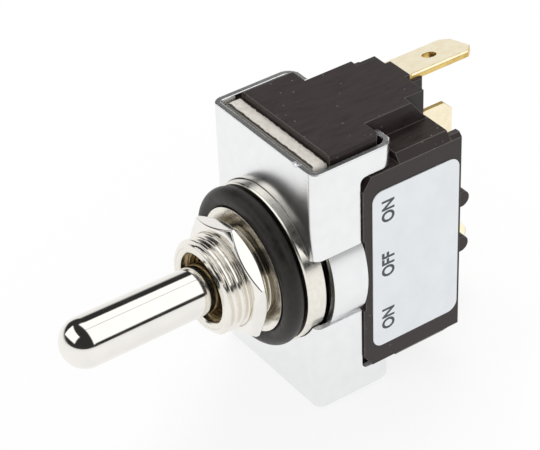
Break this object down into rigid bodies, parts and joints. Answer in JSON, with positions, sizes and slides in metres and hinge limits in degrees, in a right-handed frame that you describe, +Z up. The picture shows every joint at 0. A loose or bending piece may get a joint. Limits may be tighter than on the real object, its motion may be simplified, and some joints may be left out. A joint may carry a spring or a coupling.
{
  "type": "panel toggle switch",
  "caption": "Sealed panel-mount toggle switch, ON-OFF-ON, round metal bat lever, threaded bushing with hex nut and seal ring, quick-connect tabs.",
  "frame": {"origin": "on the bushing axis, in the plane of the bushing's panel seat lip", "axes": "+Y along the bushing axis towards the terminals, so the lever points along -Y; +Z up, the way the lever throws; +X towards the labelled side"},
  "size_m": [0.0223, 0.0598, 0.0362],
  "materials": {
    "zinc_steel": "bright zinc plate",
    "nickel_diecast": "nickel plate on a zinc die casting",
    "nickel_plate": "polished nickel plate",
    "black_rubber": "moulded, slight sheen",
    "steel": "bright drawn",
    "brass": "bright",
    "nylon": "smooth",
    "copper_alloy": "copper strip",
    "silver_alloy": "silver alloy",
    "black_phenolic": "moulded phenolic",
    "tab_brass": "bright brass",
    "label_film": "printed polyester film"
  },
  "bodies": {
    "switch": {"steel_bracket": "zinc_steel", "bushing_housing": "nickel_diecast", "hex_nut": "nickel_plate", "panel_seal": "black_rubber", "lever_seal": "black_rubber", "gland_washer": "brass", "retaining_ring": "brass", "base_case": "black_phenolic", "terminal_top": "tab_brass", "terminal_common": "tab_brass", "terminal_bottom": "tab_brass", "fixed_contact_top": "silver_alloy", "fixed_contact_bottom": "silver_alloy", "label": "label_film"},
    "lever": {"lever": "nickel_plate", "lever_pin": "steel", "lever_spring": "steel"},
    "plunger": {"plunger": "nylon"},
    "rocker": {"rocker": "copper_alloy", "moving_contact_top": "silver_alloy", "moving_contact_bottom": "silver_alloy"}
  },
  "joints": [
    {"name": "lever_throw", "type": "hinge", "parent": "switch", "child": "lever", "pos_m": [0, 0.0003, 0], "axis": [1, 0, 0], "range_deg": [-10, 10]},
    {"name": "plunger_slide", "type": "slide", "parent": "lever", "child": "plunger", "axis": [0, 1, 0], "range_m": [-0.0006, 0], "stiffness_N_per_m": 400, "springref_m": 0.003, "deforming": ["lever_spring"]},
    {"name": "rocker_tilt", "type": "hinge", "parent": "switch", "child": "rocker", "pos_m": [0, 0.0151, 0], "axis": [1, 0, 0], "range_deg": [-6.85, 6.85]}
  ],
  "couplings": [
    {"joint": "rocker_tilt", "follows": "lever_throw", "ratio": -0.68}
  ]
}
